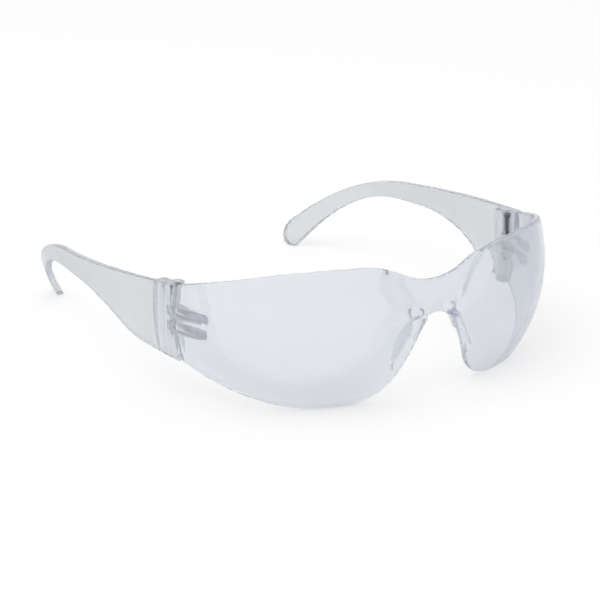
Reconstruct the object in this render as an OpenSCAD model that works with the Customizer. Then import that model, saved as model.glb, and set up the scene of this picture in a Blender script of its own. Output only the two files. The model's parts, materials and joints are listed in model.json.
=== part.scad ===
// Wraparound safety glasses: one clear moulded front with its nose pads and hinge lugs,
// two clear temples that fold on it, and the two screws they turn on.
// Millimetres, +Z up, the front looks along -Y, the wearer's left is +X.
// Everything is laid out from the line through the two hinge pins, then centred on the part.

/* [Front] */
// Outside radius of each lens zone.
lens_radius = 54.4; // [53.6:0.2:55.2]
// Wall of the front.
lens_wall = 2.2; // [2.0:0.1:2.4]
// Height of the front from its lowest edge to its brow.
lens_height = 48.9; // [48.3:0.1:49.5]

/* [Nose] */
// Height of the top edge in the middle of the bridge.
bridge_top = 41.4; // [40.8:0.1:42.0]
// How far the face of the bridge lies behind the face of the lens zones.
bridge_set = 1.5; // [1.3:0.1:1.7]
// How far the back of the bridge lies behind the back of the lens zones.
bridge_step = 1.6; // [1.4:0.1:1.9]
// Height of the crown of the nose notch.
notch_crown = 29.3; // [28.7:0.1:29.9]
// Radius of the crown of the nose notch.
notch_radius = 7.6; // [7.2:0.1:8.0]
// Lean of the sides of the notch from upright, in degrees.
notch_lean = 25.4; // [24:0.2:27]
// Splay of the nose pads from straight back, in degrees.
pad_splay = 30; // [25:1:35]
// Thickness of a nose pad.
pad_wall = 1.8; // [1.5:0.1:2.1]

/* [Hinge] */
// Distance between the two hinge pins.
pin_pitch = 137.2; // [132:0.2:142]
// How far the side of a lens zone stands out beyond its pin.
pin_cover = 4.5; // [4.2:0.1:4.8]
// Thickness of a hinge lug.
lug_height = 2.8; // [2.5:0.1:3.0]
// Height of the middle between the two lugs of a hinge.
lug_level = 27.5; // [27.0:0.1:28.0]
// Distance between the two lugs of a hinge.
lug_pitch = 5.3; // [5.1:0.1:5.6]
// Radius of the rounded end of a lug.
lug_radius = 2.0; // [1.8:0.1:2.1]
// Shank diameter of a hinge screw.
screw_d = 1.4; // [1.2:0.1:1.5]
// Head diameter of a hinge screw.
head_d = 2.4; // [2.2:0.1:2.6]

/* [Temple] */
// Wall of a temple.
temple_wall = 2.3; // [2.1:0.1:2.5]
// How far the bow of a temple stands out beyond its pin.
temple_bow = 7.9; // [7.6:0.1:8.2]
// Distance from the pins back to where the temples stand widest.
bow_y = 34.2; // [33.2:0.5:35.2]
// Radius of a temple in plan.
bow_radius = 209; // [206:1:212]
// Radius of a temple from top to bottom.
temple_radius = 66; // [62:1:70]
// Distance from the pins back to where the back of a temple turns down.
turn_y = 66.5; // [60:0.5:73]
// Radius of the rounded tip.
tip_radius = 6; // [5.6:0.1:6.4]

/* [Fits] */
// Clearance of the screw in a lug, on radius.
pin_clearance = 0.05; // [0.03:0.01:0.08]
// Clearance of a lug in its slot, on each side.
slot_clearance = 0.25; // [0.2:0.01:0.3]
// Gap between the rear edge of the front and the open temple.
fold_gap = 0.5; // [0.4:0.1:0.6]

/* [Hidden] */
$fn = 96;

// How far cutting shapes stand clear of what they cut, and how deep a feature roots in a wall.
clear = 12;
sunk = 0.6;
// How far a line or an arc runs into the arc it touches, so that the two cross cleanly.
seam = 0.02;

// Left pin, and the centre of the left lens zone as seen from the line of the pins.
pin_x = pin_pitch / 2;
zone_x = pin_x + pin_cover - lens_radius;
zone_y = 4.2;
zone_z = 30.4;
front_y = zone_y - lens_radius;
front_half = zone_x + lens_radius + clear;

// Brow line seen from ahead, in a plane that leans back so the edge stands square to the wall:
// a hump over each eye and a dip over the nose, tangent to each other.
brow_lean = 16;
lean_y = -48;
lean_z = 45;
hump_x = 34;
hump_r = 47;
function reach(x, z) = sqrt(pow(lens_radius, 2) - pow(max(x - zone_x, 0), 2) - pow(z - zone_z, 2));
function leaned(x, z) =
    (z - lean_z) * cos(brow_lean) + (zone_y - reach(x, z) - lean_y) * sin(brow_lean);
dip_low = leaned(0, bridge_top);
hump_z = leaned(hump_x, lens_height) - hump_r;
dip_rise = dip_low - hump_z;
dip_r = (hump_x * hump_x + dip_rise * dip_rise - hump_r * hump_r) / (2 * (hump_r - dip_rise));

// Brow line seen from the side: an arc over the eye running into a straight fall to the hinge.
brow_y = -46.2;
brow_r = 60;
brow_fall = 14.5;
fall_y = brow_y + brow_r * sin(brow_fall);
fall_z = lens_height - brow_r * (1 - cos(brow_fall));

// Lower edge seen from the side: an arc that rests on the ground, then a straight climb to the hinge.
sole_y = -38.7;
sole_r = 24;
sole_climb = 24.2;
climb_y = sole_y + sole_r * sin(sole_climb);
climb_z = sole_r * (1 - cos(sole_climb));

// Nose notch seen from ahead: round crown, leaning sides, rounded lower corners.
crown_z = notch_crown - notch_radius;
notch_side_x = notch_radius * cos(notch_lean);
notch_side_z = crown_z + notch_radius * sin(notch_lean);
notch_foot_x = notch_radius / cos(notch_lean) + crown_z * tan(notch_lean);
corner_r = 18;
corner_x = (notch_radius + corner_r) / cos(notch_lean) + (crown_z - corner_r) * tan(notch_lean) - 2 * seam;

// Edge of a lens zone beside the bridge, a circle seen from ahead, and how much further the back reaches.
rim_x = 42;
rim_z = 20;
rim_r = 35;
rim_lap = 2;
// How far the set-back face runs down past the crown of the notch.
bridge_foot = 1;

// Nose pad: a round-backed plate along the side of the notch, and a blind round pocket above it.
pad_inset = 1.0;
pad_lift = 2.2;
pad_setback = 0.3;
pad_root_x = notch_side_x - pad_inset;
pad_root_z = notch_side_z + pad_lift;
pad_root_y = front_y + lens_wall + pad_setback;
pad_r = 19;
pad_depth = 6.0;
pad_middle = 9.6;
pad_top = 1.6;
pad_length = 20;
pocket_d = 3.4;
pocket_x = 6.4;
pocket_z = 29.7;
pocket_skin = 1.0;

// Hinge: the pin stands upright; the block of the temple is cut by one slot for each lug.
slot_r = lug_radius + slot_clearance;
slot_h = lug_height + 2 * slot_clearance;
lug_levels = [lug_level - lug_pitch / 2, lug_level + lug_pitch / 2];
lug_front_y = -17;
block_front_y = -3.7;
block_rear_y = 7.6;
barrel_top_r = 2.3;
barrel_foot_r = 3.2;
lens_back_y = block_front_y - fold_gap;

// Temple seen from the side: upper line and arc, lower foot line, flare, step and arc, round tip.
back_z = 39.6;
back_fall = 5.2;
turn_z = back_z - turn_y * tan(back_fall);
back_r = 77.9;
back_arc_y = turn_y - back_r * sin(back_fall);
back_arc_z = turn_z - back_r * cos(back_fall);
foot_climb = 7;
flare_y = 11;
flare_z = 15.2;
flare_r = 28;
foot_y = flare_y + flare_r * sin(foot_climb);
foot_z = flare_z + flare_r * (1 - cos(foot_climb));
step_z = 26.6;
step_r = 70;
step_rise = flare_z + flare_r - step_z + step_r;
step_y = flare_y + sqrt(pow(flare_r + step_r, 2) - step_rise * step_rise);
flare_end_y = flare_y + (step_y - flare_y) * flare_r / (flare_r + step_r);
under_lag = 1.5;
under_y = turn_y + under_lag;
under_r = 47.5;
under_depth = -2 * clear;
tip_y = back_arc_y + sqrt(pow(back_r - tip_radius + seam, 2) - pow(tip_radius - back_arc_z, 2));
tip_turn = atan2(tip_radius - back_arc_z, tip_y - back_arc_y);

// The temple band is round from top to bottom, widest at the height of the lens zones, and bowed in plan.
bow_x = pin_x + temple_bow;
sweep_ahead = asin((bow_y - block_front_y + clear) / bow_radius);
sweep_behind = asin((tip_y + tip_radius - bow_y + clear) / bow_radius);

// Screw: sunk conical head in the top of the block, shank through both lugs.
head_rim = 0.4;
head_cone = 1.4;
head_sink = 0.8;
screw_top = back_z - head_sink;
screw_end = 21.8;
bore_spare = 0.6;
bore_end = screw_end - bore_spare;
drive_w = 0.4;
drive_depth = 0.6;
head_clearance = 0.1;

// Colours of the clear front, the clear temples and the dark screws.
lens_color = [0.87, 0.9, 0.92, 0.35];
temple_color = [0.86, 0.89, 0.9, 0.45];
screw_color = [0.3, 0.31, 0.33];

// Middle of the whole part from front to back.
mid_y = (front_y + tip_y + tip_radius) / 2;

// Turns an outline drawn in X and Z into a solid that runs along Y through the front.
module along_y() {
    translate([0, front_y / 2 - sunk, 0])
        rotate([90, 0, 0])
            linear_extrude(-front_y, center = true)
                children();
}

// Turns an outline drawn in Y and Z into a solid that runs along X through both sides.
module along_x() {
    rotate([90, 0, 90])
        linear_extrude(2 * front_half, center = true)
            children();
}

// Point on a circle about a centre, at an angle from the first axis.
function spoke(center, r, angle) = [center[0] + r * cos(angle), center[1] + r * sin(angle)];

// Area between two spokes, outside an arc, as far out as the given depth.
module outside_arc(center, r, from, to, depth) {
    difference() {
        polygon([
            spoke(center, r / 2, from),
            spoke(center, r + depth, from),
            spoke(center, (r + depth) / cos((to - from) / 2), (from + to) / 2),
            spoke(center, r + depth, to),
            spoke(center, r / 2, to)
        ]);
        translate(center)
            circle(r);
    }
}

// Solid under the front's outside surface: two balls and the barrel between them, less the given inset.
module zone_solid(inset) {
    r = lens_radius - inset;
    translate([0, zone_y, zone_z])
        rotate([0, 90, 0])
            rotate_extrude()
                intersection() {
                    union() {
                        for (side = [-1, 1])
                            translate([0, side * zone_x])
                                circle(r);
                        translate([-r, -zone_x])
                            square([2 * r, 2 * zone_x]);
                    }
                    translate([0, -front_half])
                        square([front_half, 2 * front_half]);
                }
}

// Turns an outline drawn in the leaning plane of the brow into a solid through the brow.
module along_brow() {
    translate([0, lean_y, lean_z])
        rotate([90 - brow_lean, 0, 0])
            linear_extrude(2 * clear, center = true)
                children();
}

// What lies in the dip of the brow line, seen from ahead.
module above_dip() {
    along_brow()
        translate([0, dip_low + dip_r])
            circle(dip_r + seam);
}

// What lies above the humps of the brow line, seen from ahead.
module above_humps() {
    hump_turn = atan2(dip_low + dip_r - hump_z, hump_x);
    for (side = [0, 1])
        mirror([side, 0, 0])
            along_brow()
                outside_arc([hump_x, hump_z], hump_r, 90, 180 - hump_turn, clear);
}

// What lies above the brow line over the eyes, seen from the side.
module above_eyes() {
    along_x()
        difference() {
            translate([front_y - clear, fall_z - clear])
                square([fall_y - front_y + clear, 2 * clear]);
            translate([brow_y, lens_height - brow_r])
                circle(brow_r);
        }
}

// What lies above the fall of the brow line to the hinge, seen from the side.
module above_fall() {
    along_x()
        polygon([
            [fall_y - clear, fall_z - seam + clear * tan(brow_fall)],
            [fall_y - clear, fall_z + 2 * clear],
            [clear, fall_z + 2 * clear],
            [clear, fall_z - seam - (clear - fall_y) * tan(brow_fall)]
        ]);
}

// What lies under the round of the front's lower edge, seen from the side.
module under_sole() {
    along_x()
        difference() {
            translate([front_y - clear, -clear])
                square([climb_y - front_y + clear, clear + 2 * climb_z]);
            translate([sole_y, sole_r])
                circle(sole_r);
        }
}

// What lies under the climb of the front's lower edge to the hinge, seen from the side.
module under_climb() {
    along_x()
        polygon([
            [climb_y - clear, -clear],
            [climb_y - clear, climb_z + seam - clear * tan(sole_climb)],
            [clear, climb_z + seam + (clear - climb_y) * tan(sole_climb)],
            [clear, -clear]
        ]);
}

// Nose notch seen from ahead.
module nose_notch() {
    along_y()
        translate([0, crown_z])
            circle(notch_radius);
    along_y()
        polygon([
            [seam - notch_side_x, notch_side_z],
            [notch_side_x - seam, notch_side_z],
            [notch_foot_x - seam + clear * tan(notch_lean), -clear],
            [seam - notch_foot_x - clear * tan(notch_lean), -clear]
        ]);
    for (side = [0, 1])
        mirror([side, 0, 0])
            along_y()
                outside_arc([corner_x, corner_r], corner_r, 180 + notch_lean, 270, clear);
}

// What lies between the two lens zones from a given height up, seen from ahead.
module between_zones(foot_z, r) {
    along_y()
        difference() {
            translate([-zone_x, foot_z])
                square([2 * zone_x, lens_height - foot_z]);
            for (side = [-1, 1])
                translate([side * rim_x, rim_z])
                    circle(r);
        }
}

// Back of the bridge, behind the back of the lens zones.
module bridge_back() {
    intersection() {
        difference() {
            zone_solid(lens_wall - sunk);
            zone_solid(lens_wall + bridge_step);
        }
        between_zones(crown_z, rim_r - rim_lap);
    }
}

// What lies before the set-back face of the bridge.
module bridge_recess() {
    difference() {
        between_zones(notch_crown - bridge_foot, rim_r);
        zone_solid(bridge_set);
    }
}

// Clear shell of the front with its bridge, before its edges are cut.
module front_blank() {
    difference() {
        union() {
            intersection() {
                difference() {
                    zone_solid(0);
                    zone_solid(lens_wall);
                }
                translate([-front_half, front_y - clear, -clear / 4])
                    cube([2 * front_half, clear - front_y + lens_back_y, lens_height + clear / 2]);
            }
            bridge_back();
        }
        bridge_recess();
    }
}

// The front between its brow line and its lower edge, before the notch is cut.
module front_shell() {
    difference() {
        difference() {
            difference() {
                difference() {
                    front_blank();
                    above_eyes();
                    above_fall();
                }
                under_sole();
                under_climb();
            }
            above_humps();
        }
        above_dip();
    }
}

// Left nose pad.
module nose_pad() {
    intersection() {
        zone_solid(lens_wall - sunk);
        translate([pad_root_x, pad_root_y, pad_root_z])
            rotate([0, -notch_lean, 0])
                rotate([90, 0, 90 - pad_splay])
                    linear_extrude(pad_wall)
                        intersection() {
                            translate([pad_depth - pad_r, -pad_middle])
                                circle(pad_r);
                            translate([-pad_depth / 2, -pad_length])
                                square([2 * pad_depth, pad_length + pad_top]);
                        }
    }
}

// Blind round pocket in the back of the front, at the top of the left nose pad.
module pad_pocket() {
    translate([pocket_x, front_y + bridge_set + pocket_skin, pocket_z])
        rotate([-90, 0, 0])
            cylinder(d = pocket_d, h = clear);
}

// The two lugs of the left hinge.
module hinge_lugs() {
    difference() {
        intersection() {
            zone_solid(lens_wall / 2);
            for (level = lug_levels)
                translate([pin_x, 0, level - lug_height / 2])
                    linear_extrude(lug_height)
                        union() {
                            circle(lug_radius);
                            translate([-lug_radius, lug_front_y])
                                square([2 * lug_radius, -lug_front_y]);
                        }
        }
        translate([pin_x, 0, 0])
            cylinder(d = screw_d + 2 * pin_clearance, h = lens_height);
    }
}

// Bowed band of the left temple, between two depths under its outside.
module temple_band(outer, inner) {
    translate([bow_x - bow_radius, bow_y, zone_z])
        rotate([0, 0, -sweep_ahead])
            rotate_extrude(angle = sweep_ahead + sweep_behind)
                translate([bow_radius - temple_radius, 0])
                    intersection() {
                        difference() {
                            circle(temple_radius - outer);
                            circle(temple_radius - inner);
                        }
                        translate([temple_radius / 2, -zone_z - clear / 4])
                            square([temple_radius, clear / 4 + back_z + 2 * sunk]);
                    }
}

// What lies above the straight back of a temple, seen from the side.
module above_back() {
    along_x()
        polygon([
            [turn_y + clear, turn_z - seam - clear * tan(back_fall)],
            [turn_y + clear, back_z + 2 * clear],
            [-2 * clear, back_z + 2 * clear],
            [-2 * clear, back_z - seam + 2 * clear * tan(back_fall)]
        ]);
}

// What lies outside the rear arc of a temple, seen from the side.
module above_wrap() {
    along_x()
        outside_arc([back_arc_y, back_arc_z], back_r, tip_turn - back_fall, 90 - back_fall, 4 * clear);
}

// What lies under the foot line and the flare of a temple, seen from the side.
module under_foot() {
    along_x()
        polygon([
            [flare_end_y, foot_z + seam + (flare_end_y - foot_y) * tan(foot_climb)],
            [flare_end_y, under_depth],
            [-2 * clear, under_depth],
            [-2 * clear, foot_z + seam - (foot_y + 2 * clear) * tan(foot_climb)]
        ]);
    along_x()
        difference() {
            translate([foot_y, under_depth])
                square([flare_end_y - foot_y, step_z - under_depth]);
            translate([flare_y, flare_z + flare_r])
                circle(flare_r);
        }
}

// What lies under the step and the rear arc of a temple, seen from the side.
module under_wrap() {
    along_x()
        intersection() {
            translate([step_y, step_z - step_r])
                circle(step_r + seam);
            translate([flare_y, under_depth])
                square([under_y - flare_y, step_z + sunk - under_depth]);
        }
    along_x()
        translate([step_y, under_depth])
            square([under_y - step_y, step_z - seam - under_depth]);
    along_x()
        translate([under_y, step_z - under_r])
            circle(under_r);
}

// What lies beyond the round tip, seen from the side.
module beyond_tip() {
    along_x()
        translate([tip_y, tip_radius])
            rotate([0, 0, tip_turn - 90])
                difference() {
                    translate([0, -2 * clear])
                        square([3 * clear, 5 * clear]);
                    circle(tip_radius);
                }
}

// Left hinge block: a thick end behind the outside wall, and the barrel round the pin.
module hinge_block() {
    intersection() {
        temple_band(sunk, clear);
        union() {
            translate([pin_x, block_front_y, 0])
                cube([clear, block_rear_y - block_front_y, lens_height]);
            translate([pin_x, 0, 0])
                cylinder(r1 = barrel_foot_r, r2 = barrel_top_r, h = lens_height);
        }
    }
}

// Slot for one lug, open to the front and to the inside so that the temple can fold.
module lug_slot() {
    cylinder(r = slot_r, h = slot_h);
    translate([-clear, -clear, 0])
        cube([clear + slot_r, clear, slot_h]);
    translate([-clear, -clear, 0])
        cube([clear, clear + slot_r, slot_h]);
}

// Left temple with its hinge block, slots and screw hole.
module temple() {
    difference() {
        union() {
            temple_band(0, temple_wall);
            hinge_block();
        }
        above_back();
        above_wrap();
        under_foot();
        under_wrap();
        beyond_tip();
        translate([zone_x, block_front_y - 3 * clear, 0])
            cube([front_half, 3 * clear, 2 * lens_height]);
        for (level = lug_levels)
            translate([pin_x, 0, level - slot_h / 2])
                lug_slot();
        translate([pin_x, 0, bore_end])
            cylinder(d = screw_d, h = lens_height);
        translate([pin_x, 0, screw_top - head_rim - head_cone])
            cylinder(d1 = screw_d, d2 = head_d, h = head_cone);
        translate([pin_x, 0, screw_top - head_rim])
            cylinder(d = head_d + 2 * head_clearance, h = clear);
    }
}

// Hinge screw standing at the left pin.
module hinge_screw() {
    shank_top = screw_top - head_rim - head_cone;
    difference() {
        translate([pin_x, 0, 0])
            rotate_extrude()
                polygon([
                    [0, screw_end],
                    [screw_d / 2, screw_end],
                    [screw_d / 2, shank_top],
                    [head_d / 2, screw_top - head_rim],
                    [head_d / 2, screw_top],
                    [0, screw_top]
                ]);
        translate([pin_x - head_d, -drive_w / 2, screw_top - drive_depth])
            cube([2 * head_d, drive_w, head_d]);
    }
}

// Puts a feature of the left side in its place in the centred part.
module on_left() {
    translate([0, -mid_y, 0])
        children();
}

// Puts the same feature on the right side.
module on_right() {
    mirror([1, 0, 0])
        on_left()
            children();
}

module lens() {
    color(lens_color)
        difference() {
            union() {
                on_left()
                    difference() {
                        front_shell();
                        nose_notch();
                    }
                on_left()
                    nose_pad();
                on_right()
                    nose_pad();
                on_left()
                    hinge_lugs();
                on_right()
                    hinge_lugs();
            }
            on_left()
                pad_pocket();
            on_right()
                pad_pocket();
        }
}

module left_temple() {
    color(temple_color)
        on_left()
            temple();
}

module right_temple() {
    color(temple_color)
        on_right()
            temple();
}

module left_hinge_screw() {
    color(screw_color)
        on_left()
            hinge_screw();
}

module right_hinge_screw() {
    color(screw_color)
        on_right()
            hinge_screw();
}

lens();
left_temple();
right_temple();
left_hinge_screw();
right_hinge_screw();
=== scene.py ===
import json
import math
import bmesh
import bpy
import numpy as np
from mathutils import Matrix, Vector


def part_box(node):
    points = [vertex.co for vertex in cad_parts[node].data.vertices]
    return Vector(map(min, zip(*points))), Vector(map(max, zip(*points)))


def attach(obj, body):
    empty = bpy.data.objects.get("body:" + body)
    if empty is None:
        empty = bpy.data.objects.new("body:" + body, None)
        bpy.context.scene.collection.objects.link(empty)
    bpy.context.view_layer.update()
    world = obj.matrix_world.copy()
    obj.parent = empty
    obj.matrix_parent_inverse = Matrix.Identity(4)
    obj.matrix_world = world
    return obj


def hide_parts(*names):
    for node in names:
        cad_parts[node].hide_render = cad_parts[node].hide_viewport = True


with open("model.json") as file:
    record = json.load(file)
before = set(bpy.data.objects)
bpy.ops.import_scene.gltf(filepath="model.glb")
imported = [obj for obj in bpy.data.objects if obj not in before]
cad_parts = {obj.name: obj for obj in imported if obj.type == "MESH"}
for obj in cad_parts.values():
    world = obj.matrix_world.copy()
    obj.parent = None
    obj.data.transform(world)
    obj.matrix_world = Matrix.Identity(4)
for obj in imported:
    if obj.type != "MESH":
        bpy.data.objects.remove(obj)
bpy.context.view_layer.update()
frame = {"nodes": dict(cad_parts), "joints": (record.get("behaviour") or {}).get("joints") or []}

mm = 0.001
mergeMm = 0.002                  # corners of a solid's loose triangles nearer than this are one point
pins = {joint["child"]: Vector(joint["pos_m"]) for joint in frame["joints"]}
print("frame loaded:", sorted(frame["nodes"]))


def linear(hexColour):
    # sRGB hex to the linear numbers that a shader socket takes
    parts = [int(hexColour[i:i + 2], 16) / 255 for i in (1, 3, 5)]
    return [p / 12.92 if p <= 0.04045 else ((p + 0.055) / 1.055) ** 2.4 for p in parts] + [1.0]


def addNode(tree, kind, inputs=None, **settings):
    # one node with its own settings; an input is a value or the socket that feeds it
    node = tree.nodes.new(kind)
    for name, value in settings.items():
        setattr(node, name, value)
    for name, value in (inputs or {}).items():
        if isinstance(value, bpy.types.NodeSocket):
            tree.links.new(value, node.inputs[name])
        else:
            node.inputs[name].default_value = value
    return node


def emptyTree(owner):
    # the node tree of a material or a world, with nothing in it yet
    owner.use_nodes = True
    owner.node_tree.nodes.clear()
    return owner.node_tree


def newObject(name, data):
    thing = bpy.data.objects.new(name, data)
    bpy.context.scene.collection.objects.link(thing)
    return thing


def mergedCopy(node):
    # the solid's loose triangles joined into one skin
    mesh = frame["nodes"][node].data.copy()
    mesh.materials.clear()
    skin = bmesh.new()
    skin.from_mesh(mesh)
    bmesh.ops.remove_doubles(skin, verts=skin.verts, dist=mergeMm * mm)
    skin.to_mesh(mesh)
    skin.free()
    return mesh


def makePlain(piece):
    # what the modifiers give becomes the piece's own mesh
    evaluated = piece.evaluated_get(bpy.context.evaluated_depsgraph_get())
    mesh = bpy.data.meshes.new_from_object(evaluated)
    piece.modifiers.clear()
    piece.data = mesh


def finishPiece(piece, body, slot, *nodes):
    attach(piece, body)
    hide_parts(*nodes)
    print(piece.name, len(piece.data.polygons), "faces")


# materials

polycarbonate = {
    "tint": "#EAEEEF",
    "clear": 0.86,               # the rest scatters in the plastic
    "body": 0.86,                # the rest goes straight through
    "ior": 1.5,                  # polycarbonate has 1.586; a little lower, to match the pale edges
    "roughness": (0.03, 0.04),   # before and behind the stretch where the finish changes
    "satinMm": (-35.0, -10.0),   # that stretch, from front to back
    "hazeMm": 3.0,               # patches of uneven gloss
    "hazeLevels": (0.3, 0.7),    # the noise's usual low and high,
    "hazeSpread": (0.92, 1.08),  # and what they do to the roughness
    "edgeColour": "#8480E4",     # blue-violet toner, seen where light runs along the sheet
    "edgeDensity": 25.0,         # per metre
    "rippleMm": 9.0,             # flow marks of the moulding
    "rippleHeightMm": 0.3,
    "rippleStrength": 0.02,
}

# the temples are glossy at the hinge and satin behind it
satinPolycarbonate = {
    **polycarbonate,
    "tint": "#DFE4E6",
    "roughness": (0.03, 0.18),
    "satinMm": (-22.0, 8.0),
    "hazeMm": 2.0,
    "edgeColour": "#9290C0",
    "edgeDensity": 20.0,
    "rippleMm": 6.0,
}


def clearPlastic(name, finish):
    # moulded clear polycarbonate: glossy, faintly rippled, blue-violet along its edges
    material = bpy.data.materials.new(name)
    tree = emptyTree(material)
    place = addNode(tree, "ShaderNodeTexCoord").outputs["Object"]
    ripple = addNode(tree, "ShaderNodeTexNoise", {
        "Vector": place, "Scale": 1 / (finish["rippleMm"] * mm), "Detail": 1.0})
    haze = addNode(tree, "ShaderNodeTexNoise", {
        "Vector": place, "Scale": 1 / (finish["hazeMm"] * mm), "Detail": 3.0})
    spread = addNode(tree, "ShaderNodeMapRange", {
        "Value": haze.outputs["Fac"],
        "From Min": finish["hazeLevels"][0], "From Max": finish["hazeLevels"][1],
        "To Min": finish["hazeSpread"][0], "To Max": finish["hazeSpread"][1]})
    axes = addNode(tree, "ShaderNodeSeparateXYZ", {"Vector": place})
    along = addNode(tree, "ShaderNodeMapRange", {
        "Value": axes.outputs["Y"],
        "From Min": finish["satinMm"][0] * mm, "From Max": finish["satinMm"][1] * mm,
        "To Min": finish["roughness"][0], "To Max": finish["roughness"][1]})
    gloss = addNode(tree, "ShaderNodeMath", {
        0: along.outputs["Result"], 1: spread.outputs["Result"]}, operation="MULTIPLY")
    bump = addNode(tree, "ShaderNodeBump", {
        "Height": ripple.outputs["Fac"], "Strength": finish["rippleStrength"],
        "Distance": finish["rippleHeightMm"] * mm})
    skin = addNode(tree, "ShaderNodeBsdfPrincipled", {
        "Base Color": linear(finish["tint"]), "IOR": finish["ior"],
        "Transmission Weight": finish["clear"], "Alpha": finish["body"],
        "Roughness": gloss.outputs[0], "Normal": bump.outputs["Normal"]})
    depth = addNode(tree, "ShaderNodeVolumeAbsorption", {
        "Color": linear(finish["edgeColour"]), "Density": finish["edgeDensity"]})
    addNode(tree, "ShaderNodeOutputMaterial", {
        "Surface": skin.outputs["BSDF"], "Volume": depth.outputs["Volume"]})
    return material


frontPlastic = clearPlastic("clearPolycarbonateFront", polycarbonate)
templePlastic = clearPlastic("satinPolycarbonateTemple", satinPolycarbonate)

blackedSteel = {
    "colour": "#1C1D20",
    "worn": "#4C4D52",
    "roughness": (0.3, 0.5),
    "grainMm": 0.4,
}


def platedSteel(name, finish):
    # blacked steel: dark grey metal, a little lighter where the plating has rubbed
    material = bpy.data.materials.new(name)
    tree = emptyTree(material)
    place = addNode(tree, "ShaderNodeTexCoord").outputs["Object"]
    grain = addNode(tree, "ShaderNodeTexNoise", {
        "Vector": place, "Scale": 1 / (finish["grainMm"] * mm), "Detail": 4.0}).outputs["Fac"]
    # sockets 6 and 7 are the two colours, 2 is their mix
    colour = addNode(tree, "ShaderNodeMix", {
        0: grain, 6: linear(finish["colour"]), 7: linear(finish["worn"])}, data_type="RGBA")
    gloss = addNode(tree, "ShaderNodeMapRange", {
        "Value": grain, "To Min": finish["roughness"][0], "To Max": finish["roughness"][1]})
    skin = addNode(tree, "ShaderNodeBsdfPrincipled", {
        "Base Color": colour.outputs[2], "Metallic": 1.0, "Roughness": gloss.outputs["Result"]})
    addNode(tree, "ShaderNodeOutputMaterial", {"Surface": skin.outputs["BSDF"]})
    return material


screwSteel = platedSteel("blackedSteelScrew", blackedSteel)
print("materials made")


# clear mouldings: the solids' skins with rounded edges, their big faces put back on the true curves

moulding = {
    "roundingShare": 0.5,        # how far one pass moves a point to the middle of its neighbours
    "facing": 0.93,              # skin that faces along its way less than this stays where it is,
    "facingBand": 0.05,          # and skin that faces more than both together moves in full
}


def moulded(node, name, settings, material):
    piece = newObject(name, mergedCopy(node))
    remesh = piece.modifiers.new("evenSkin", "REMESH")
    remesh.mode = "VOXEL"
    remesh.voxel_size = settings["voxelMm"] * mm
    remesh.use_smooth_shade = True
    ease = piece.modifiers.new("edgeRound", "SMOOTH")
    ease.factor = moulding["roundingShare"]
    ease.iterations = settings["roundingPasses"]
    makePlain(piece)
    piece.data.materials.append(material)
    return piece


def readSkin(piece):
    count = len(piece.data.vertices)
    points, normals = np.empty(count * 3), np.empty(count * 3)
    piece.data.vertices.foreach_get("co", points)
    piece.data.vertices.foreach_get("normal", normals)
    return points.reshape(-1, 3), normals.reshape(-1, 3)


def writeSkin(piece, points):
    piece.data.vertices.foreach_set("co", points.ravel())
    piece.data.update()


def settle(points, normals, ways, lengths, targetsMm, reachMm):
    # moves the points that lie near one of the target lengths onto it, less so where the skin turns away
    facing = np.abs((normals * ways).sum(1))
    share = np.clip((facing - moulding["facing"]) / moulding["facingBand"], 0, 1)
    moved = points.copy()
    for targetMm in targetsMm:
        gap = targetMm * mm - lengths
        near = np.abs(gap) < reachMm * mm
        moved[near] += (ways * (gap * share)[:, None])[near]
    return moved


def waysAndLengths(spans):
    # a span of no length at all, as on a pin's own axis, gets no direction
    shortest = 1e-9
    lengths = np.linalg.norm(spans, axis=1)
    return spans / np.maximum(lengths, shortest)[:, None], lengths


def awayFromPin(points, pin):
    # direction and distance from a hinge pin's upright axis
    return waysAndLengths((points - np.array(pin)) * (1, 1, 0))


front = {
    "voxelMm": 0.49,
    "roundingPasses": 8,
    "zoneMm": (18.7, -29.25, 30.4),    # centre of the left lens zone
    "radiusMm": 54.4,
    "depthsMm": (0.0, 1.5, 2.2, 3.8),  # faces of the lenses and the bridge, then their backs
    "faceReachMm": 0.12,               # points this near to one of those faces go onto it
    "boreMm": 0.82,                    # pin holes of the lugs, on radius, with room for the thread to turn
    "boreReachMm": 0.3,
    "eyeRimMm": (42.0, 20.0, 33.0),    # circle of the eye on the back, from ahead: across, up, radius
    "easeMm": 5.0,                     # the step on the bridge's back is eased this far to each side of it
    "easeFootMm": 31.0,                # and from this height up
    "easePasses": 400,
    "easeShare": 1.0,
    "backMm": 1.8,                     # the back is the skin deeper than this below the lenses' face,
    "backUp": 0.5,                     # apart from what faces up more than this
    "backAhead": 0.5,                  # or ahead more than this
    "pocketMm": (6.4, 29.7, 2.1),      # round pocket over each pad: across, up, radius with its edge
}


def awayFromZones(points):
    # direction and distance from the line that joins the centres of the two lens zones
    zone = np.array(front["zoneMm"]) * mm
    spans = points - zone * (0, 1, 1)
    spans[:, 0] = np.sign(points[:, 0]) * np.maximum(np.abs(points[:, 0]) - zone[0], 0)
    return waysAndLengths(spans)


clearFront = moulded("lens", "clearFront", front, frontPlastic)
points, normals = readSkin(clearFront)
radiiMm = [front["radiusMm"] - depth for depth in front["depthsMm"]]
points = settle(points, normals, *awayFromZones(points), radiiMm, front["faceReachMm"])
for pin in pins.values():
    points = settle(points, normals, *awayFromPin(points, pin), [front["boreMm"]], front["boreReachMm"])
writeSkin(clearFront, points)

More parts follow.
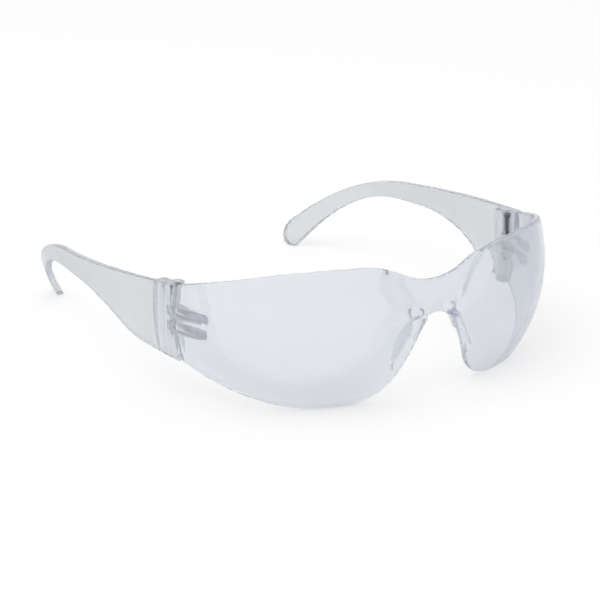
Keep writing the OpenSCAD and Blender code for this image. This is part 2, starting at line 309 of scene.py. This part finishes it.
# the step on the bridge's back becomes a soft slope at the rim of each eye
points, normals = readSkin(clearFront)
across, up = np.abs(points[:, 0]), points[:, 2]
depth = front["radiusMm"] * mm - awayFromZones(points)[1]
rimX, rimZ, rimR = (size * mm for size in front["eyeRimMm"])
pocketX, pocketZ, pocketR = (size * mm for size in front["pocketMm"])
soft = np.abs(np.hypot(across - rimX, up - rimZ) - rimR) < front["easeMm"] * mm
soft &= (up > front["easeFootMm"] * mm) & (depth > front["backMm"] * mm)
soft &= (normals[:, 2] < front["backUp"]) & (normals[:, 1] > -front["backAhead"])
soft &= np.hypot(across - pocketX, up - pocketZ) > pocketR
backGroup = clearFront.vertex_groups.new(name="bridgeBack")
backGroup.add(np.flatnonzero(soft).tolist(), 1.0, "REPLACE")
slope = clearFront.modifiers.new("bridgeSlope", "SMOOTH")
slope.vertex_group = backGroup.name
slope.factor = front["easeShare"]
slope.iterations = front["easePasses"]
makePlain(clearFront)
clearFront.vertex_groups.clear()
finishPiece(clearFront, "front", "clear_lens", "lens")

temple = {
    "voxelMm": 0.32,
    "roundingPasses": 5,
    "bowMm": (76.5, 0.75, 30.4),       # widest point of the left temple's outside
    "planRadiusMm": 209.0,
    "uprightRadiusMm": 66.0,
    "wallsMm": (0.01, 2.3),            # outside, a hair within the solid's, and inside
    "faceReachMm": 0.12,               # points this near to one of those faces go onto it
    "sunkMm": 1.3,                     # sunk place of the screw's head, on radius
    "sunkReachMm": 0.25,
    "boreMm": 0.7,                     # screw hole, on radius
    "boreReachMm": 0.15,               # its wall is the skin up to this far outside it
    "boreFacing": 0.5,                 # that faces the pin more than this
    "gripMm": 0.36,                    # that wall closes on the screw's core, with no air between
}


def awayFromBow(points, sign):
    # direction and distance from the ring that a temple's upright rounding turns about
    bow = np.array(temple["bowMm"]) * mm
    ring = (temple["planRadiusMm"] - temple["uprightRadiusMm"]) * mm
    plan = points[:, :2] - (sign * (bow[0] - temple["planRadiusMm"] * mm), bow[1])
    outward = plan * (1 - ring / np.linalg.norm(plan, axis=1))[:, None]
    return waysAndLengths(np.column_stack([outward, points[:, 2] - bow[2]]))


for side, sign in (("left", 1), ("right", -1)):
    arm = moulded(side + "_temple", side + "ClearTemple", temple, templePlastic)
    pin = pins[side + "_arm"]
    points, normals = readSkin(arm)
    radiiMm = [temple["uprightRadiusMm"] - wall for wall in temple["wallsMm"]]
    points = settle(points, normals, *awayFromBow(points, sign), radiiMm, temple["faceReachMm"])
    points = settle(points, normals, *awayFromPin(points, pin), [temple["sunkMm"]], temple["sunkReachMm"])
    ways, lengths = awayFromPin(points, pin)
    hole = lengths < (temple["boreMm"] + temple["boreReachMm"]) * mm
    hole &= np.abs((normals * ways).sum(1)) > temple["boreFacing"]
    points[hole] += (ways * (temple["gripMm"] * mm - lengths)[:, None])[hole]
    writeSkin(arm, points)
    finishPiece(arm, side + "_arm", "clear_temple", side + "_temple")


# hinge screws: the solid's head and slot on a thinner core, with a thread wound round it

screw = {
    "coreMm": 0.42,              # on radius, and so are the shank and the ridge
    "shankMm": 0.7,              # the solid's, which the core is drawn in from
    "headMm": 1.8,               # head and cone, from the top down
    "headSlackMm": 0.01,         # points this little above the shank's top still belong to it
    "pitchMm": 1.0,              # coarse, as a screw that cuts its own way in plastic
    "ridgeMm": 0.27,
    "ridgeSides": 6,
    "stepsPerTurn": 20,
}


def threadTree():
    # a round ridge wound up from the foot and joined to the core
    tree = bpy.data.node_groups.new("screwThread", "GeometryNodeTree")
    sockets = {"Core": "Geometry", "Foot": "Vector", "Length": "Float", "Pitch": "Float",
               "Radius": "Float", "Ridge": "Float", "Finish": "Material"}
    for name, kind in sockets.items():
        tree.interface.new_socket(name, in_out="INPUT", socket_type="NodeSocket" + kind)
    tree.interface.new_socket("Screw", in_out="OUTPUT", socket_type="NodeSocketGeometry")
    size = addNode(tree, "NodeGroupInput").outputs
    turns = addNode(tree, "ShaderNodeMath", {0: size["Length"], 1: size["Pitch"]}, operation="DIVIDE")
    helix = addNode(tree, "GeometryNodeCurveSpiral", {
        "Resolution": screw["stepsPerTurn"], "Rotations": turns.outputs[0], "Height": size["Length"],
        "Start Radius": size["Radius"], "End Radius": size["Radius"]})
    placed = addNode(tree, "GeometryNodeTransform", {
        "Geometry": helix.outputs[0], "Translation": size["Foot"]})
    ridge = addNode(tree, "GeometryNodeCurvePrimitiveCircle", {
        "Resolution": screw["ridgeSides"], "Radius": size["Ridge"]})
    thread = addNode(tree, "GeometryNodeCurveToMesh", {
        "Curve": placed.outputs[0], "Profile Curve": ridge.outputs[0], "Fill Caps": True})
    both = addNode(tree, "GeometryNodeJoinGeometry", {"Geometry": size["Core"]})
    tree.links.new(thread.outputs[0], both.inputs[0])
    real = addNode(tree, "GeometryNodeRealizeInstances", {"Geometry": both.outputs[0]})
    dressed = addNode(tree, "GeometryNodeSetMaterial", {
        "Geometry": real.outputs[0], "Material": size["Finish"]})
    addNode(tree, "NodeGroupOutput", {"Screw": dressed.outputs[0]})
    return tree


thread = threadTree()
threadSockets = {item.name: item.identifier for item in thread.interface.items_tree
                 if item.in_out == "INPUT"}

for side in ("left", "right"):
    low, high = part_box(side + "_hinge_screw")
    axis = (low + high) / 2
    ridge = screw["ridgeMm"] * mm
    shankTop = high.z - screw["headMm"] * mm
    thinner = screw["coreMm"] / screw["shankMm"]
    mesh = mergedCopy(side + "_hinge_screw")
    for vertex in mesh.vertices:
        if vertex.co.z < shankTop + screw["headSlackMm"] * mm:
            vertex.co.x = axis.x + (vertex.co.x - axis.x) * thinner
            vertex.co.y = axis.y + (vertex.co.y - axis.y) * thinner
    piece = newObject(side + "HingeScrew", mesh)
    wound = piece.modifiers.new("thread", "NODES")
    wound.node_group = thread
    sizes = {
        "Foot": (axis.x, axis.y, low.z + ridge),
        "Length": shankTop - low.z - 2 * ridge,
        "Pitch": screw["pitchMm"] * mm,
        "Radius": screw["coreMm"] * mm,
        "Ridge": ridge,
        "Finish": screwSteel,
    }
    for name, value in sizes.items():
        wound[threadSockets[name]] = value
    makePlain(piece)
    finishPiece(piece, side + "_arm", "hinge_screw", side + "_hinge_screw")


# floor, light and camera

stageLook = {
    "floorColour": "#FFFFFF",
    "floorSize": 8.0,            # metres, as are the lamp's size and place
    "floorGlow": 0.5,            # share of the floor that is white without light, so its shadow stays faint
    "roomColour": "#FFFFFF",
    "roomStrength": 0.8,         # for the light that falls on the part; the eye sees it at 1
    "keyPower": 7.0,
    "keySize": 1.4,
    "keyPlace": (-0.5, -0.1, 1.4),
}


def seenBy(tree, *kinds):
    # 1 for rays of these kinds, 0 for the light that falls on the part
    path = addNode(tree, "ShaderNodeLightPath")
    seen = path.outputs[kinds[0]]
    for kind in kinds[1:]:
        both = addNode(tree, "ShaderNodeMath", {0: seen, 1: path.outputs[kind]}, operation="MAXIMUM")
        seen = both.outputs[0]
    return seen


def aim(thing, place, back):
    # a lamp or camera at its place, looking the opposite way of back
    thing.location = place
    thing.rotation_mode = "QUATERNION"
    thing.rotation_quaternion = (-Vector(back)).to_track_quat("-Z", "Y")


half = stageLook["floorSize"] / 2
corners = [(-half, -half, 0), (half, -half, 0), (half, half, 0), (-half, half, 0)]
floorMesh = bpy.data.meshes.new("paleFloor")
floorMesh.from_pydata(corners, [], [(0, 1, 2, 3)])
floor = newObject("paleFloor", floorMesh)
floorPaint = bpy.data.materials.new("mattWhiteFloor")
tree = emptyTree(floorPaint)
floorWhite = linear(stageLook["floorColour"])
paint = addNode(tree, "ShaderNodeBsdfDiffuse", {"Color": floorWhite})
glow = addNode(tree, "ShaderNodeEmission", {"Color": floorWhite, "Strength": 1.0})
seen = seenBy(tree, "Is Camera Ray", "Is Glossy Ray", "Is Transmission Ray")
share = addNode(tree, "ShaderNodeMath", {0: seen, 1: stageLook["floorGlow"]}, operation="MULTIPLY")
both = addNode(tree, "ShaderNodeMixShader", {
    0: share.outputs[0], 1: paint.outputs[0], 2: glow.outputs[0]})
addNode(tree, "ShaderNodeOutputMaterial", {"Surface": both.outputs[0]})
floorMesh.materials.append(floorPaint)

world = bpy.data.worlds.new("studioRoom")
bpy.context.scene.world = world
tree = emptyTree(world)
level = addNode(tree, "ShaderNodeMapRange", {
    "Value": seenBy(tree, "Is Camera Ray", "Is Transmission Ray"),
    "To Min": stageLook["roomStrength"], "To Max": 1.0})
room = addNode(tree, "ShaderNodeBackground", {
    "Color": linear(stageLook["roomColour"]), "Strength": level.outputs["Result"]})
addNode(tree, "ShaderNodeOutputWorld", {"Surface": room.outputs["Background"]})

keyLamp = bpy.data.lights.new("softbox", "AREA")
keyLamp.size = stageLook["keySize"]
keyLamp.energy = stageLook["keyPower"]
aim(newObject("softbox", keyLamp), stageLook["keyPlace"], stageLook["keyPlace"])

shot = {
    "place": (-0.41722, -0.61505, 0.26882),
    "azimuth": -34.29,           # degrees from straight ahead of the part
    "elevation": 19.21,
    "lensMm": 132.98,
    "sensorMm": 36.0,
    "nearestSeen": 0.01,         # metres
}

cameraData = bpy.data.cameras.new("photoCamera")
cameraData.lens = shot["lensMm"]
cameraData.sensor_width = shot["sensorMm"]
cameraData.clip_start = shot["nearestSeen"]
camera = newObject("photoCamera", cameraData)
turn, lift = math.radians(shot["azimuth"]), math.radians(shot["elevation"])
back = (math.sin(turn) * math.cos(lift), -math.cos(turn) * math.cos(lift), math.sin(lift))
aim(camera, shot["place"], back)
bpy.context.scene.camera = camera
bpy.context.scene.view_settings.view_transform = "Standard"
print("stage set")
